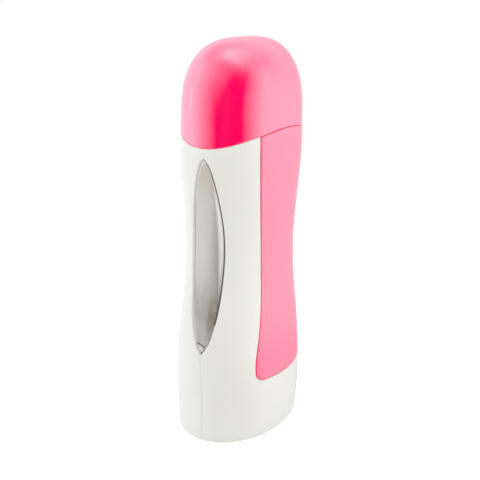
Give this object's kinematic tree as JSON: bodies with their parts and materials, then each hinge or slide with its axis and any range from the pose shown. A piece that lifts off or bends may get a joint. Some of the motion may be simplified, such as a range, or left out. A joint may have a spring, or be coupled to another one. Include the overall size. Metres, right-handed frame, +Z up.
{
  "type": "roll-on wax heater",
  "caption": "Hand-held oval heater for a roll-on wax cartridge, with a lift-off domed cap, a lens-shaped front window and a wrap-round rear cover.",
  "frame": {"origin": "middle of the footprint, on the surface that the four feet rest on", "axes": "+Z up through the cap, -Y towards the window, +Y towards the rear cover's back and the mains inlet, +X across the narrow width"},
  "size_m": [0.0586, 0.0792, 0.1915],
  "materials": {
    "white_shell": "gloss",
    "pink_shell": "gloss",
    "cap_pink": "gloss, slightly translucent",
    "clear_window": "clear moulded plastic",
    "grey_seal": "satin silicone",
    "black_rubber": "matt",
    "heat_plastic": "satin, heat resistant",
    "dark_plastic": "satin",
    "trough_metal": "brushed",
    "screw_steel": "zinc plated",
    "pin_brass": "plated",
    "ceramic": "matt",
    "film": "amber film",
    "board": "solder mask",
    "lamp_red": "tinted clear",
    "wire_blue": "insulation",
    "wire_brown": "insulation"
  },
  "bodies": {
    "housing": {"left_shell": "white_shell", "right_shell": "white_shell", "rear_cover": "pink_shell", "window_lens": "clear_window", "window_gasket": "grey_seal", "neck_collar": "heat_plastic", "mouth_seal": "grey_seal", "chamber_floor": "heat_plastic", "rest_pad": "grey_seal", "heater_trough": "trough_metal", "base_plate": "white_shell", "rubber_feet": "black_rubber", "base_screws": "screw_steel", "floor_screws": "screw_steel", "inlet_socket": "dark_plastic", "inlet_pins": "pin_brass", "heating_element": "ceramic", "element_insulator": "film", "element_clamp": "screw_steel", "clamp_screws": "screw_steel", "thermostat": "dark_plastic", "thermal_fuse": "screw_steel", "fuse_sleeve": "film", "circuit_board": "board", "pilot_lamp": "lamp_red", "board_resistor": "ceramic", "live_lead": "wire_brown", "fuse_link": "wire_brown", "element_link": "wire_brown", "neutral_lead": "wire_blue", "lamp_lead": "wire_blue"},
    "cap": {"cap": "cap_pink"}
  },
  "joints": [
    {"name": "cap_lift", "type": "slide", "parent": "housing", "child": "cap", "axis": [0, 0, 1], "range_m": [0, 0.06]}
  ]
}
